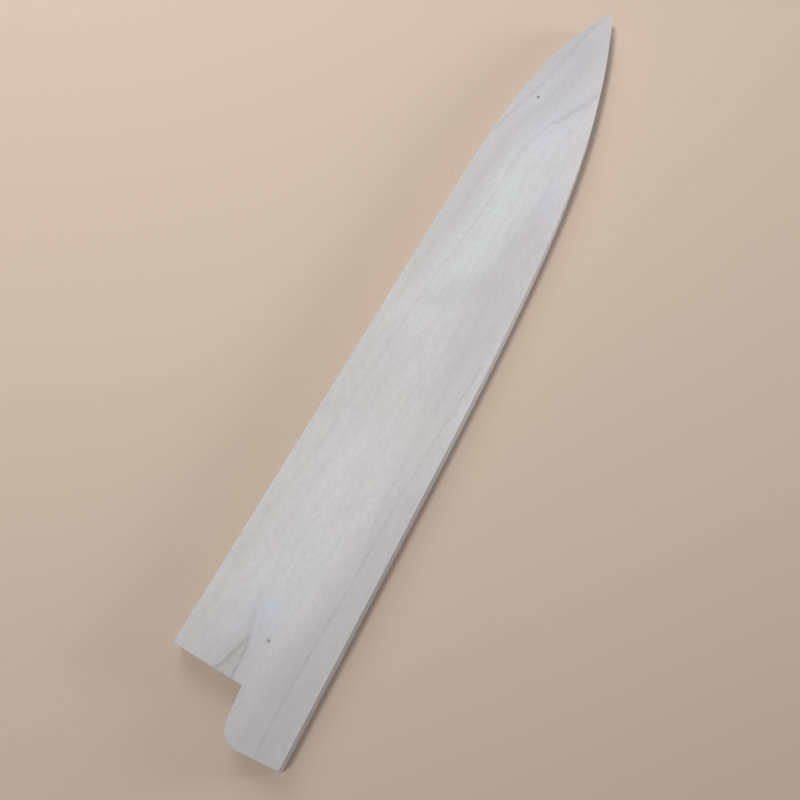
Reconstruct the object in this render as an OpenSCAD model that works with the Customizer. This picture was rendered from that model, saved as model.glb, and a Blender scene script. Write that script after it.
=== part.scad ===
// Flat wooden sheath for a long slicing knife.
// Two thin boards are glued on a spine strip, an edge strip and a tip block,
// which leave a flat slot for the blade. The mouth is stepped: the short side
// clears the knife's neck, and the tab beyond it covers the heel of the blade.
//
// The outline is worked out with the corner of mouth and spine at zero.
// The finished sheath lies flat, with X towards the point, +Y towards the spine
// and the origin in the middle of its underside. All lengths are millimetres.

/* [Spine side] */
// Length of the spine side, from the mouth to the point
spine_length = 270; // [235:1:320]
// Length of its straight part
spine_straight = 180; // [150:1:200]
// Length over which the straight part leads the curve to the point
spine_run = 50; // [30:1:55]
// How far the point lies below the line of the spine
tip_drop = 16.2; // [13:0.1:18.5]
// Angle of the spine's curve at the point
nose_slope = 28.5; // [24:0.5:36]
// Length over which the slope at the point leads the spine's curve
nose_run = 22; // [10:0.5:25]
// Radius of the point itself
tip_r = 1.1; // [1.1:0.1:2.5]

/* [Cutting-edge side] */
// Width at the heel, where the sheath is widest
width = 47.2; // [43:0.2:55]
// Angle of the cutting-edge side to the spine at the heel
heel_slope = 1.9; // [0.5:0.05:3]
// Length over which the slope at the heel leads the cutting-edge side
heel_run = 172; // [140:1:190]
// Angle of the cutting-edge side to the spine at the point
tip_slope = 21.5; // [17:0.5:24]
// Length over which the slope at the point leads the cutting-edge side
tip_run = 66; // [45:1:80]

/* [Mouth] */
// Depth of the short mouth, measured from the spine
notch_depth = 25; // [19:0.5:28]
// How far the short mouth leans back from square
mouth_angle = 1; // [0:0.5:8]
// How far the tab reaches past the mouth's corner at the spine
tab_reach = 17; // [14:0.5:28]
// Angle of the tab's inner side to the spine
tab_side_angle = 7; // [0:0.5:12]
// How far the tab's end leans from square
tab_end_angle = 5; // [0:0.5:8]
// Radius of the tab's inner corner
tab_corner_r = 6.9; // [3:0.1:8]

/* [Boards] */
// Thickness of each board
board_t = 3; // [2:0.1:4]
// Radius of the softened arris round each board's outer face
arris_r = 0.3; // [0.2:0.1:1]

/* [Slot] */
// Height of the slot for the blade, between the boards
slot_t = 4.2; // [4.1:0.1:7]
// Width of the strip along the spine
spine_strip_w = 3.5; // [3:0.1:6]
// Width of the strip along the cutting edge
edge_strip_w = 3.5; // [3:0.1:6]
// Length of the block at the point, along the sheath
tip_block_length = 14; // [10:0.5:22]

/* [Hidden] */
// Straight pieces in the curved stretches
edge_steps = 48;
spine_steps = 24;
tip_steps = 12;
corner_steps = 12;
arris_steps = 5;
// How far a cutting shape runs past what it cuts
past = 10;
square_angle = 90;

tip_centre = [spine_length - tip_r, -tip_drop];
spine_end = tip_centre + tip_r * direction(square_angle - nose_slope);
spine_handles = [
    spine_end,
    spine_end - nose_run * direction(-nose_slope),
    [spine_straight + spine_run, 0],
    [spine_straight, 0]
];

mouth_corner = [0, 0];
notch_corner = [-notch_depth * tan(mouth_angle), -notch_depth];
tab_normal = direction(square_angle + tab_side_angle);
tab_corner_x = tab_corner_r - tab_reach;
tab_corner_centre = [
    tab_corner_x,
    notch_corner.y - (tab_corner_r + (tab_corner_x - notch_corner.x) * tab_normal.x) / tab_normal.y
];
tab_end = direction(tab_end_angle - square_angle);
tab_end_start = tab_corner_centre + tab_corner_r * direction(2 * square_angle + tab_end_angle);
edge_start = tab_end_start - (tab_end_start.y + width) / tab_end.y * tab_end;

edge_end = tip_centre + tip_r * direction(tip_slope - square_angle);
edge_handles = [
    edge_start,
    edge_start + heel_run * direction(heel_slope),
    edge_end - tip_run * direction(tip_slope),
    edge_end
];

tip_plane = spine_length - tip_block_length;
front_z = board_t + slot_t;
middle = [(spine_length - tab_reach) / 2, -width / 2];

// Unit vector at an angle
function direction(angle) = [cos(angle), sin(angle)];

// Points on an arc, from the first angle up to the last
function arc(centre, r, from, to, steps) = [
    for (i = [0:steps]) centre + r * direction(from + (to - from) * i / steps)
];

// Point of a cubic curve on four handles, and the way that it runs there
function curve_point(h, t) =
    pow(1 - t, 3) * h[0] + 3 * pow(1 - t, 2) * t * h[1] + 3 * (1 - t) * t * t * h[2] + pow(t, 3) * h[3];
function curve_way(h, t) =
    let (v = pow(1 - t, 2) * (h[1] - h[0]) + 2 * (1 - t) * t * (h[2] - h[1]) + t * t * (h[3] - h[2]))
    v / norm(v);

// The vector turned a quarter turn to the left, into the outline
function inward(v) = [-v.y, v.x];

// Points of a cubic curve, moved in by a distance
function curve(handles, steps, inset) = [
    for (i = [0:steps])
        let (t = i / steps)
        curve_point(handles, t) + inset * inward(curve_way(handles, t))
];
function edge_curve(inset) = curve(edge_handles, edge_steps, inset);
function spine_curve(inset) = curve(spine_handles, spine_steps, inset);

// A list of points without its first
function tail(points) = [for (i = [1:len(points) - 1]) points[i]];

// Outline of the sheath, anticlockwise from the corner between mouth and tab, its only inward corner
outline = concat(
    [notch_corner],
    arc(tab_corner_centre, tab_corner_r, square_angle + tab_side_angle,
        2 * square_angle + tab_end_angle, corner_steps),
    edge_curve(0),
    tail(arc(tip_centre, tip_r, tip_slope - square_angle, square_angle - nose_slope, tip_steps)),
    tail(spine_curve(0)),
    [mouth_corner]
);
outline_count = len(outline);

// The outline moved in by a distance, with its corners kept sharp
function inset_outline(inset) = [
    for (i = [0:outline_count - 1])
        let (
            before = outline[(i + outline_count - 1) % outline_count],
            here = outline[i],
            after = outline[(i + 1) % outline_count],
            way_in = inward((here - before) / norm(here - before)),
            way_out = inward((after - here) / norm(after - here))
        )
        here + inset * (way_in + way_out) / (1 + way_in * way_out)
];

// Heights and insets of a board's rings, from its glued face to its outer face
arris_levels = [
    for (i = [0:arris_steps])
        let (angle = square_angle * i / arris_steps)
        [arris_r * (1 - cos(angle)), board_t - arris_r * (1 - sin(angle))]
];
board_levels = concat([[0, 0]], arris_levels);

// Board with the whole outline and a softened arris round its outer face
module board() {
    rings = [for (level = board_levels) [for (p = inset_outline(level[0])) [p.x, p.y, level[1]]]];
    last = len(rings) - 1;
    sides = [
        for (k = [0:last - 1], i = [0:outline_count - 1])
            let (j = (i + 1) % outline_count)
            [k * outline_count + i, (k + 1) * outline_count + i,
             (k + 1) * outline_count + j, k * outline_count + j]
    ];
    // Both flat faces fan out from the inward corner, which every other point sees
    glued_face = [for (i = [1:outline_count - 2]) [0, i, i + 1]];
    outer_face = [for (face = glued_face) [for (i = [2:-1:0]) last * outline_count + face[i]]];
    polyhedron([for (ring = rings, p = ring) p], concat(glued_face, outer_face, sides));
}

// Everything on the mouth's side of the tip block
module before_tip_block() {
    translate([-tab_reach - past, -width - past])
        square([tip_plane + tab_reach + past, width + 2 * past]);
}

// Everything on the cutting edge's side of the spine strip
module below_spine_strip() {
    polygon(concat(
        [[-tab_reach - past, -width - past], [spine_length + past, -width - past]],
        spine_curve(spine_strip_w),
        [[-tab_reach - past, -spine_strip_w]]
    ));
}

// Everything on the spine's side of the edge strip
module above_edge_strip() {
    inner_edge = edge_curve(edge_strip_w);
    polygon(concat(
        [inner_edge[0] - past * direction(heel_slope)],
        inner_edge,
        [[spine_length + past, past], [-tab_reach - past, past]]
    ));
}

// Places a piece of the sheath in the finished part's own frame
module placed(z = 0) {
    translate([-middle.x, -middle.y, z]) children();
}

module strip_layer() {
    placed(board_t) linear_extrude(slot_t) children();
}

module back_board() {
    color("#c9c4bf")
        placed(board_t) mirror([0, 0, 1]) board();
}

module front_board() {
    color("#d2d0cd")
        placed(front_z) board();
}

module spine_strip() {
    color("#c4bcb4")
        strip_layer() difference() {
            intersection() {
                polygon(outline);
                before_tip_block();
            }
            below_spine_strip();
        }
}

module edge_strip() {
    color("#c1b8af")
        strip_layer() difference() {
            intersection() {
                polygon(outline);
                before_tip_block();
                below_spine_strip();
            }
            above_edge_strip();
        }
}

module tip_block() {
    color("#bcb2a8")
        strip_layer() difference() {
            polygon(outline);
            before_tip_block();
        }
}

back_board();
front_board();
spine_strip();
edge_strip();
tip_block();
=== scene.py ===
import math

import bpy
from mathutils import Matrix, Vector


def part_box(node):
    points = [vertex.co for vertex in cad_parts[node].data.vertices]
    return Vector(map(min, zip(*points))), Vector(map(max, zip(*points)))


MM = 0.001

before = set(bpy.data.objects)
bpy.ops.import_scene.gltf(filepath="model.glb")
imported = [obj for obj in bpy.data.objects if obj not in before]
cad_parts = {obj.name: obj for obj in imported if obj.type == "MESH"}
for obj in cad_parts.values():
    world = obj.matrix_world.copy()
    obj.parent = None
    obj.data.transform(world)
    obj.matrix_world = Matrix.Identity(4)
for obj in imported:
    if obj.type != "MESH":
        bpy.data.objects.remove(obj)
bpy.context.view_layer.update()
low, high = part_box("front_board")

# How far the tab reaches back past the mouth's corner at the spine
TAB_REACH = 17.0

# Camera: its place in the sheath's frame and its turns about X, Y and Z, in degrees
CAMERA_PLACE = Vector((-124.2, -67.0, 338.5)) * MM
CAMERA_TURNS = (19.976, 1.993, -60.618)
LENS = 48.52
SENSOR = 36.0

# Colours of bare pale wood, with painted light and shade for the side walls and a painted highlight for the arris, and
# of the plain floor, linear
PALE = (0.644, 0.650, 0.658)
BRIGHT = (0.690, 0.698, 0.706)
ROSE = (0.676, 0.645, 0.664)
COOL = (0.652, 0.659, 0.731)
WARM = (0.660, 0.638, 0.617)
BLUSH = (0.722, 0.688, 0.704)
GREY = (0.522, 0.500, 0.515)
SLATE = (0.512, 0.503, 0.522)
SHADE = (0.405, 0.388, 0.398)
BARK = (0.430, 0.405, 0.370)
PORE = (0.330, 0.300, 0.270)
LINE = (0.325, 0.313, 0.316)
KNOT = (0.110, 0.095, 0.085)
# Painted highlight on the rounded arris
ARRIS_HIGHLIGHT = (0.760, 0.745, 0.730)
# Paler wall tone towards the point, painted light
STRIP_PAINTED_LIGHT = (0.715, 0.680, 0.672)
# Darker tone of the strips' grain, and painted shade on the walls towards the mouth
STRIP_GRAIN_AND_SHADE = (0.525, 0.487, 0.475)
FLOOR = (0.622, 0.505, 0.417)


class Value:
    """A number that varies over a surface. Sums, products and the calls below add the nodes for it."""

    def __init__(self, tree, socket):
        self.tree = tree
        self.socket = socket

    def math(self, operation, *others):
        node = self.tree.nodes.new("ShaderNodeMath")
        node.operation = operation
        for socket, value in zip(node.inputs, (self, *others)):
            feed(self.tree, socket, value)
        return Value(self.tree, node.outputs[0])

    def __add__(self, other):
        return self.math("ADD", other)

    def __sub__(self, other):
        return self.math("SUBTRACT", other)

    def __mul__(self, other):
        return self.math("MULTIPLY", other)

    def __truediv__(self, other):
        return self.math("DIVIDE", other)

    def size(self):
        """The number without its sign."""
        return self.math("ABSOLUTE")

    def most(self, other):
        return self.math("MAXIMUM", other)

    def ramp(self, start, end, from_value=0.0, to_value=1.0):
        """Goes smoothly from from_value at start to to_value at end, and stays there."""
        node = self.tree.nodes.new("ShaderNodeMapRange")
        node.interpolation_type = "SMOOTHSTEP"
        for name, value in (
            ("Value", self), ("From Min", start), ("From Max", end), ("To Min", from_value), ("To Max", to_value),
        ):
            feed(self.tree, node.inputs[name], value)
        return Value(self.tree, node.outputs["Result"])


def feed(tree, socket, value):
    """Links or sets one input of a node."""
    if isinstance(value, Value):
        tree.links.new(value.socket, socket)
    elif isinstance(value, bpy.types.NodeSocket):
        tree.links.new(value, socket)
    else:
        socket.default_value = value


class Surface:
    """One wood material, with the sheath's own coordinates in millimetres: along from the mouth's corner
    towards the point, across from the spine towards the cutting edge, and up from the table."""

    def __init__(self, name):
        self.material = bpy.data.materials.new(name)
        self.material.use_nodes = True
        self.tree = self.material.node_tree
        self.shader = self.tree.nodes["Principled BSDF"]
        place = self.split(self.tree.nodes.new("ShaderNodeTexCoord").outputs["Object"])
        self.along = (place[0] - low.x) / MM - TAB_REACH
        self.across = (place[1] - high.y) / -MM
        self.up = place[2] / MM
        facing = self.split(self.tree.nodes.new("ShaderNodeNewGeometry").outputs["Normal"])
        self.end_facing = facing[0].size()
        self.face_facing = facing[2].size()

    def split(self, vector):
        node = self.tree.nodes.new("ShaderNodeSeparateXYZ")
        self.tree.links.new(vector, node.inputs[0])
        return [Value(self.tree, node.outputs[i]) for i in range(3)]

    def vector(self, x, y, z):
        node = self.tree.nodes.new("ShaderNodeCombineXYZ")
        for socket, value in zip(node.inputs, (x, y, z)):
            feed(self.tree, socket, value)
        return node.outputs[0]

    def noise(self, x, y, z, detail=2.0, roughness=0.5, warp=0.0):
        """Cloudy noise from 0 to 1, about one lump per unit of x, y and z."""
        node = self.tree.nodes.new("ShaderNodeTexNoise")
        self.tree.links.new(self.vector(x, y, z), node.inputs["Vector"])
        node.inputs["Scale"].default_value = 1.0
        node.inputs["Detail"].default_value = detail
        node.inputs["Roughness"].default_value = roughness
        node.inputs["Distortion"].default_value = warp
        return Value(self.tree, node.outputs["Fac"])

    def mix(self, first, second, share):
        """Colour between two colours."""
        node = self.tree.nodes.new("ShaderNodeMix")
        node.data_type = "RGBA"
        feed(self.tree, node.inputs["Factor"], share)
        for name, colour in (("A", first), ("B", second)):
            socket = next(s for s in node.inputs if s.name == name and s.type == "RGBA")
            feed(self.tree, socket, colour if isinstance(colour, bpy.types.NodeSocket) else (*colour, 1.0))
        return next(s for s in node.outputs if s.type == "RGBA")

    def painted_side_shading(self):
        """Colour of the long side walls, painted paler than the faces and paler towards the point as painted light, and
        darker towards the mouth as painted shade.
        """
        return self.mix(STRIP_GRAIN_AND_SHADE, STRIP_PAINTED_LIGHT, self.along.ramp(75.0, 130.0))

    def growth_rings(self, seed):
        """Fine lines that run slanting through the thickness, as growth rings do on end grain."""
        slant = self.across / 0.8 + self.up * 0.35
        return self.noise(slant, self.up / 9.0, seed, detail=1.0).ramp(0.40, 0.65)

    def spot(self, along, across, half_length, half_width, tilt=0.0):
        """1 at a place on the face, fading to 0 at the rim of an oval round it. Tilt is its fall in mm a mm."""
        run = self.along - along
        fall = self.across - across - run * tilt
        far = (run / half_length).math("POWER", 2.0) + (fall / half_width).math("POWER", 2.0)
        return far.ramp(0.0, 1.0, 1.0, 0.0)

    def route(self, points):
        """Distance across from a line that runs through points (along, across)."""
        node = self.tree.nodes.new("ShaderNodeFloatCurve")
        curve = node.mapping.curves[0]
        length = (high.x - low.x) / MM
        width = (high.y - low.y) / MM
        while len(curve.points) < len(points):
            curve.points.new(0.5, 0.5)
        for knot, (along, across) in zip(curve.points, points):
            knot.location = ((along + TAB_REACH) / length, across / width)
        node.mapping.update()
        feed(self.tree, node.inputs["Factor"], 1.0)
        feed(self.tree, node.inputs["Value"], (self.along + TAB_REACH) / length)
        return self.across - Value(self.tree, node.outputs[0]) * width

    def grain_line(self, points, width, fade=2.0):
        """1 on a thin line through points (along, across), 0 beside it, ending softly."""
        beside = self.route(points).size().ramp(0.0, width, 1.0, 0.0)
        start, end = points[0][0], points[-1][0]
        return beside * self.along.ramp(start, start + fade) * self.along.ramp(end - fade, end, 1.0, 0.0)

    def bump(self, height, depth):
        """Raises the surface by height times depth, in millimetres."""
        node = self.tree.nodes.new("ShaderNodeBump")
        node.inputs["Distance"].default_value = depth * MM
        feed(self.tree, node.inputs["Height"], height)
        self.tree.links.new(node.outputs["Normal"], self.shader.inputs["Normal"])

    def finish(self, colour, roughness):
        self.tree.links.new(colour, self.shader.inputs["Base Color"])
        feed(self.tree, self.shader.inputs["Roughness"], roughness)
        self.shader.inputs["Specular IOR Level"].default_value = 0.35
        return self.material


def wood_grain(surface, seed, flow):
    """Fibres, growth bands, clouds, mottling and pores that follow flow, the distance across the grain in mm."""
    along = surface.along + seed * 10.0
    fibre = surface.noise(along / 4.0, flow / 0.50, surface.up / 0.50, detail=3.0, roughness=0.6)
    band = surface.noise(along / 60.0, flow / 3.2, surface.up / 3.0, detail=2.0)
    cloud = surface.noise(along / 14.0, flow / 5.0, surface.up / 5.0, detail=3.0, roughness=0.6)
    mottle = surface.noise(along / 2.2, flow / 1.5, surface.up / 1.5, detail=3.0, roughness=0.6)
    pore = surface.noise(along / 1.1, flow / 0.16, surface.up / 0.16, detail=1.0).ramp(0.66, 0.76)
    return fibre, band, cloud, mottle, pore


def board_material(name, seed, lines, areas=()):
    """Bare, finely sanded pale wood of a board: soft areas, mottling, fine fibres, pores and broken grain lines."""
    wood = Surface(name)
    main = wood.route(lines[0][0])
    settled = wood.across.ramp(14.0, 34.0, 0.6, 0.0)
    flow = wood.across - (wood.across - main) * settled
    fibre, band, cloud, mottle, pore = wood_grain(wood, seed, flow)

    colour = ROSE
    for shade, along, across, half_length, half_width, tilt, strength in areas:
        colour = wood.mix(colour, shade, wood.spot(along, across, half_length, half_width, tilt) * strength)
    gaps = wood.noise(wood.along / 3.6 + seed, wood.across / 6.0, 0.0).ramp(0.36, 0.64)
    for points, width, strength, broken in lines:
        whole = gaps * broken + (1.0 - broken)
        colour = wood.mix(colour, LINE, wood.grain_line(points, width) * whole * strength)

    # The walls are of one tone with the strips, with painted light towards the point and painted shade towards the
    # mouth
    colour = wood.mix(colour, wood.painted_side_shading(), wood.face_facing.ramp(0.1, 0.5, 0.85, 0.0))
    colour = wood.mix(colour, SHADE, band.ramp(0.35, 0.75, 0.0, 0.12))
    colour = wood.mix(colour, SHADE, cloud.ramp(0.40, 0.75, 0.0, 0.13))
    colour = wood.mix(colour, SHADE, mottle.ramp(0.35, 0.75, 0.0, 0.17))
    colour = wood.mix(colour, SHADE, fibre.ramp(0.45, 0.80, 0.0, 0.14))
    colour = wood.mix(colour, PORE, pore * 0.30)

    # End grain at the mouth is darker and shows the growth rings, and the sanded arris is painted paler as a painted
    # highlight
    end_grain = wood.end_facing.ramp(0.7, 0.95)
    colour = wood.mix(colour, GREY, end_grain * 0.6)
    colour = wood.mix(colour, SHADE, end_grain * wood.growth_rings(seed) * 0.3)
    colour = wood.mix(colour, ARRIS_HIGHLIGHT, wood.face_facing.ramp(0.1, 0.6) * wood.face_facing.ramp(0.8, 0.99, 1.0, 0.0) * 0.9)
    wood.bump(fibre * 0.7 - pore, 0.018)
    return wood.finish(colour, fibre.ramp(0.2, 0.8, 0.52, 0.68))


def strip_material(name, seed):
    """Sanded edge of the strips between the boards, a little darker and warmer than the boards, with painted light and
    shade along its length.
    """
    wood = Surface(name)
    fibre, band, cloud, mottle, pore = wood_grain(wood, seed, wood.across)
    # The side tone carries painted light towards the point and painted shade towards the mouth
    colour = wood.mix(wood.painted_side_shading(), STRIP_GRAIN_AND_SHADE, band.ramp(0.35, 0.7, 0.0, 0.4))
    colour = wood.mix(colour, GREY, cloud.ramp(0.4, 0.7, 0.0, 0.3))
    colour = wood.mix(colour, STRIP_GRAIN_AND_SHADE, fibre.ramp(0.45, 0.8, 0.0, 0.5))
    colour = wood.mix(colour, STRIP_GRAIN_AND_SHADE, mottle.ramp(0.4, 0.75, 0.0, 0.3))
    colour = wood.mix(colour, PORE, pore * 0.3)
    end_grain = wood.end_facing.ramp(0.7, 0.95)
    colour = wood.mix(colour, STRIP_GRAIN_AND_SHADE, end_grain * 0.5)
    colour = wood.mix(colour, SHADE, end_grain * wood.growth_rings(seed) * 0.3)
    wood.bump(fibre * 0.7 - pore, 0.02)
    return wood.finish(colour, fibre.ramp(0.2, 0.8, 0.55, 0.72))


# Growth lines on the face that shows: points (along, across), half width, strength and how broken it is
FRONT_LINES = [
    # The main line, which bends down towards the cutting edge near the point
    ([(30, 2.3), (45, 3.7), (58, 5.3), (75, 6.9), (92, 7.9), (108, 8.5), (123, 9.1), (143, 10.2), (159, 11.7),
      (175, 13.1), (195, 13.4), (206, 14.5), (213, 16.4), (221, 20.4), (229, 24.4), (237, 27.9)], 0.60, 0.14, 0.7),
    # Its darker stretches
    ([(104, 8.4), (112, 8.7), (123, 9.1), (143, 10.2), (159, 11.7), (175, 13.1), (195, 13.4), (206, 14.5)],
     0.60, 0.15, 0.6),
    ([(202, 14.1), (206, 14.5), (213, 16.4), (221, 20.4), (229, 24.4), (237, 27.9), (243, 30.5)], 1.50, 0.11, 0.3),
    ([(217, 18.3), (221, 20.4), (229, 24.3), (237, 27.8), (243, 30.4)], 2.30, 0.17, 0.2),
    # The line along the cutting edge's side
    ([(-17, 39.3), (-9, 38.7), (3, 38.3), (20, 38.2), (38, 38.3), (58, 38.2), (71, 38.0), (87, 38.5), (108, 39.3),
      (125, 40.1)], 0.75, 0.30, 0.6),
    ([(-17, 39.3), (-9, 38.7), (3, 38.3), (20, 38.2), (31, 38.2)], 1.20, 0.13, 0.3),
    # Two soft ones above the main line
    ([(130, 3.6), (150, 4.4), (167, 5.6), (190, 6.4), (203, 7.3), (210, 8.1), (217, 9.5), (223, 11.5), (232, 13.6),
      (246, 15.5)], 1.30, 0.10, 0.4),
    ([(184, 6.2), (190, 6.5), (203, 7.4), (210, 8.2), (217, 9.6), (223, 11.6), (232, 13.7)], 1.60, 0.09, 0.3),
    ([(205, 1.0), (212, 2.4), (219, 4.5), (228, 6.7), (240, 9.1), (253, 11.3), (262, 13.0), (268, 15.4)],
     1.40, 0.24, 0.3),
    # Faint strokes below it
    ([(143, 24.3), (159, 26.1), (173, 27.6)], 1.10, 0.10, 0.4),
    ([(176, 28.2), (187, 28.8), (201, 28.5)], 1.00, 0.13, 0.4),
    ([(29, 22.4), (36, 20.6), (44, 19.7), (52, 19.5)], 0.90, 0.10, 0.4),
    ([(45, 28.8), (50, 28.3), (57, 28.4)], 0.90, 0.10, 0.4),
    ([(61, 22.8), (70, 22.4), (81, 22.6)], 0.80, 0.10, 0.4),
    ([(59, 26.0), (68, 25.7), (76, 25.2)], 0.80, 0.08, 0.4),
    ([(96, 23.6), (108, 24.4), (120, 24.9)], 0.80, 0.10, 0.4),
    ([(60, 35.2), (68, 34.6), (77, 34.2)], 0.80, 0.08, 0.4),
    # The dark V at the mouth, and the soft streak that runs on from it
    ([(-3, 14.4), (0, 15.4), (3, 16.6), (8, 18.0), (14, 19.6)], 1.20, 0.30, 0.2),
    ([(-3, 14.6), (0, 15.4), (3, 16.7), (8, 18.1), (12, 19.1)], 1.15, 0.34, 0.0),
    ([(-3, 20.9), (0, 20.9), (4, 20.7), (9, 20.2), (14, 19.4)], 0.90, 0.40, 0.2),
    ([(-3, 20.9), (0, 20.9), (4, 20.7)], 1.00, 0.25, 0.0),
    ([(5, 20.6), (8, 20.3), (11, 19.9)], 0.80, 0.20, 0.0),
    ([(10, 20.0), (17, 17.6), (24, 15.8), (30, 14.5)], 2.20, 0.10, 0.2),
    ([(10, 19.4), (14, 18.9), (17, 18.0), (20, 17.2)], 1.20, 0.14, 0.2),
]

# Soft areas of the face that shows: colour, place along and across, half length, half width, tilt and strength
FRONT_AREAS = [
    # Neutral wood, towards the point and in patches near the mouth
    (PALE, 179.0, 18.0, 75.0, 22.0, 0.0, 1.0),
    (PALE, 30.0, 18.7, 26.0, 12.0, 0.0, 0.9),
    (PALE, 73.0, 19.7, 12.0, 6.0, 0.0, 0.6),
    (PALE, 160.0, 32.0, 28.0, 10.0, 0.0, 0.7),
    # The paler heart
    (BRIGHT, 48.0, 20.5, 58.0, 17.0, 0.0, 0.80),
    (BRIGHT, 180.0, 17.5, 48.0, 13.0, 0.05, 0.60),
    (BRIGHT, 122.0, 10.0, 24.0, 9.0, 0.0, 0.40),
    (BRIGHT, 168.0, 10.3, 27.0, 2.6, 0.07, 0.45),
    (BLUSH, 67.0, 22.0, 20.0, 16.0, 0.0, 0.6),
    (ROSE, 44.0, 9.5, 16.0, 6.0, 0.0, 0.35),
    (ROSE, 182.0, 2.0, 22.0, 7.0, 0.0, 0.5),
    # Yellowish patches and a yellowish spine side, then bluish patches
    (WARM, 60.0, 0.0, 130.0, 9.0, 0.0, 0.5),
    (WARM, 101.0, 12.8, 9.0, 13.0, 0.0, 0.7),
    (WARM, 95.0, 33.5, 10.0, 10.0, 0.0, 0.7),
    (WARM, -16.0, 33.0, 10.0, 14.0, 0.0, 0.4),
    (COOL, 221.0, 15.8, 26.0, 14.0, 0.0, 0.9),
    (COOL, 189.0, 31.7, 13.0, 5.0, -0.1, 0.9),
    (COOL, 20.0, 20.2, 11.0, 8.0, 0.1, 1.0),
    # Darker wood: the point, the spine's side, the cutting edge's side and a slanting smudge, then painted shade along
    # the cutting edge's side near the mouth
    (SLATE, 262.0, 8.0, 70.0, 22.0, 0.0, 0.86),
    (COOL, 232.0, 9.0, 18.0, 6.0, 0.25, 0.25),
    (COOL, 263.0, 17.0, 12.0, 6.0, 0.0, 0.25),
    (GREY, 179.0, 1.9, 45.0, 12.0, 0.0, 0.42),
    (GREY, 95.0, 3.0, 110.0, 8.0, 0.0, 0.13),
    (GREY, 182.0, 7.6, 30.0, 2.6, 0.05, 0.14),
    (GREY, 228.0, 24.5, 14.0, 5.0, 0.4, 0.15),
    (GREY, 149.0, 32.6, 60.0, 10.0, 0.0, 0.42),
    (GREY, 144.0, 20.7, 13.0, 8.5, 0.8, 0.26),
    (GREY, 107.0, 7.8, 26.0, 11.0, 0.1, 0.18),
    # Painted shade, darker along the cutting edge's side towards the mouth
    (GREY, 0.0, 45.3, 110.0, 18.0, 0.0, 0.60),
    # Painted shade on the tab, then the band above its line and the wood round the V
    (GREY, -24.0, 27.5, 54.0, 60.0, 0.0, 0.58),
    (GREY, -19.0, 36.0, 13.0, 16.0, 0.0, 0.30),
    (GREY, 2.0, 36.2, 26.0, 3.0, 0.0, 0.32),
    (GREY, 3.0, 17.7, 13.0, 9.0, 0.0, 0.45),
    (GREY, 15.0, 20.6, 9.0, 3.6, -0.2, 0.22),
    # Inside the V
    (BARK, 4.0, 18.5, 10.0, 3.0, 0.08, 0.28),
    # Two pin knots with a soft rim, the second in a paler ring
    (LINE, 14.7, 25.1, 1.4, 1.1, 0.0, 0.30),
    (KNOT, 14.5, 25.2, 0.7, 0.70, 0.0, 0.60),
    (BRIGHT, 225.1, 9.4, 3.6, 2.6, 0.0, 0.25),
    (LINE, 225.4, 8.9, 1.2, 1.0, 0.0, 0.35),
    (KNOT, 225.5, 8.9, 0.75, 0.70, 0.0, 0.75),
]

# Growth lines and soft areas of the board underneath
BACK_LINES = [
    ([(-16, 35.0), (40, 32.5), (110, 29.0), (170, 24.5), (210, 22.5), (256, 21.0)], 0.75, 0.34, 0.8),
    ([(5, 9.2), (70, 10.4), (140, 10.0), (200, 11.6), (244, 13.6)], 0.75, 0.30, 0.8),
    ([(30, 17.0), (90, 16.2), (150, 15.4), (214, 16.2)], 0.90, 0.18, 0.6),
]
BACK_AREAS = [
    (PALE, 60.0, 24.0, 70.0, 16.0, 0.0, 1.0),
    (BRIGHT, 110.0, 20.0, 60.0, 7.0, 0.03, 0.4),
    (COOL, 170.0, 18.0, 40.0, 12.0, 0.0, 0.7),
    (GREY, 210.0, 6.0, 60.0, 14.0, 0.0, 0.40),
    (GREY, 30.0, 42.0, 90.0, 12.0, 0.0, 0.40),
    (GREY, 96.0, 27.0, 12.0, 5.0, 0.6, 0.30),
    (GREY, -20.0, 30.0, 40.0, 40.0, 0.0, 0.30),
]


def ease_edges(node, width):
    """Takes the sharpness off a piece's edges, which leaves a fine groove along each glue line."""
    weld = node.modifiers.new("joined_facets", "WELD")
    weld.merge_threshold = 0.001 * MM
    bevel = node.modifiers.new("eased_edges", "BEVEL")
    bevel.width = width * MM
    bevel.segments = 2
    bevel.limit_method = "ANGLE"
    bevel.angle_limit = math.radians(50.0)


def dress(node_name, material, eased):
    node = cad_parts[node_name]
    node.data.materials.clear()
    node.data.materials.append(material)
    ease_edges(node, eased)


def make_floor():
    size = 3.0
    bpy.ops.mesh.primitive_plane_add(size=size, location=(0, 0, -0.02 * MM))
    floor = bpy.context.object
    floor.name = "floor"
    material = bpy.data.materials.new("floor_plain")
    material.use_nodes = True
    shader = material.node_tree.nodes["Principled BSDF"]
    shader.inputs["Base Color"].default_value = (*FLOOR, 1.0)
    shader.inputs["Roughness"].default_value = 0.6
    shader.inputs["Specular IOR Level"].default_value = 0.25
    floor.data.materials.append(material)


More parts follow.
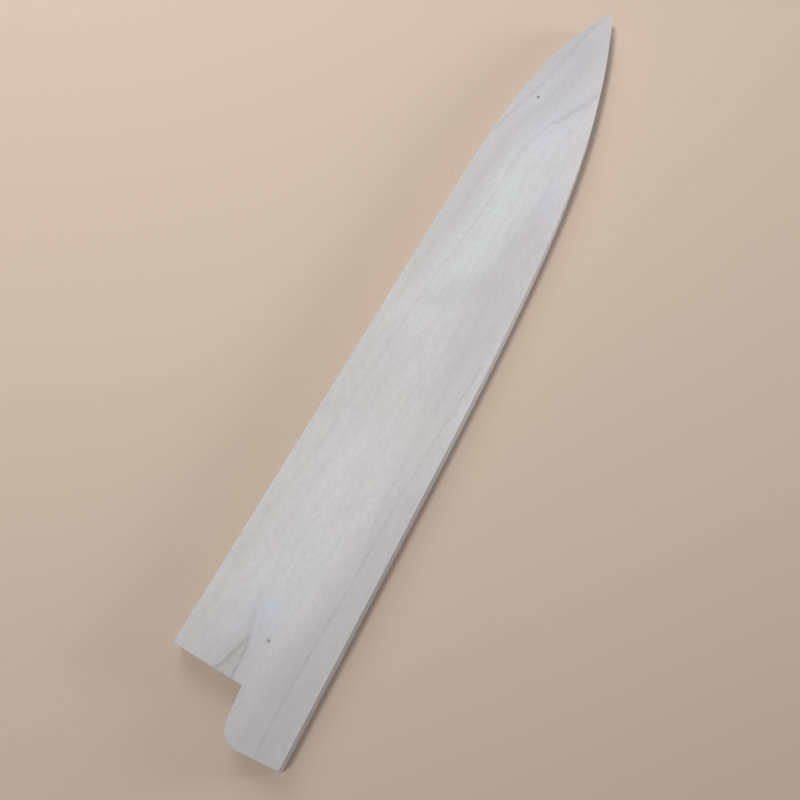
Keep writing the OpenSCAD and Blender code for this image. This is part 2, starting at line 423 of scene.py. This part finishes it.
def make_camera():
    camera = bpy.data.objects.new("camera", bpy.data.cameras.new("camera"))
    camera.location = CAMERA_PLACE
    camera.rotation_euler = [math.radians(turn) for turn in CAMERA_TURNS]
    camera.data.lens = LENS
    camera.data.sensor_width = SENSOR
    camera.data.clip_start = 0.01
    bpy.context.scene.collection.objects.link(camera)
    bpy.context.scene.camera = camera


def make_area_light(name, place, aim, size, watts, colour, spread=180.0):
    light = bpy.data.lights.new(name, "AREA")
    light.shape = "DISK"
    light.size = size
    light.energy = watts
    light.color = colour
    light.spread = math.radians(spread)
    lamp = bpy.data.objects.new(name, light)
    lamp.location = place
    lamp.rotation_euler = (Vector(aim) - Vector(place)).to_track_quat("-Z", "Y").to_euler()
    bpy.context.scene.collection.objects.link(lamp)


def make_light():
    """A lamp high over the mouth, a broad one beyond the spine's side and the point, whose shade is soft, a low one
    that shines on the cutting edge's side and an evenly lit room."""
    make_area_light("key", (-0.60, 0.25, 1.90), (0.34, 0.36, 0.0), 0.36, 2.55, (1.0, 0.985, 0.957), 50.0)
    make_area_light("broad", (0.45, 0.50, 0.80), (0.0, 0.0, 0.0), 0.80, 3.0, (1.0, 0.99, 0.98))
    make_area_light("low", (0.50, -0.80, 0.30), (0.08, 0.0, 0.26), 0.30, 0.68, (0.93, 0.96, 1.0), 60.0)
    world = bpy.data.worlds.new("room")
    world.use_nodes = True
    room = world.node_tree.nodes["Background"]
    room.inputs["Color"].default_value = (0.985, 0.993, 1.0, 1.0)
    room.inputs["Strength"].default_value = 0.20
    bpy.context.scene.world = world


make_camera()
make_floor()
make_light()

front_wood = board_material("front_board_wood", 3.0, FRONT_LINES, FRONT_AREAS)
back_wood = board_material("back_board_wood", 41.0, BACK_LINES, BACK_AREAS)
dress("front_board", front_wood, 0.10)
dress("back_board", back_wood, 0.10)
dress("spine_strip", strip_material("spine_strip_wood", 17.0), 0.08)
dress("edge_strip", strip_material("edge_strip_wood", 29.0), 0.08)
dress("tip_block", strip_material("tip_block_wood", 53.0), 0.08)

bpy.context.scene.view_settings.view_transform = "Standard"
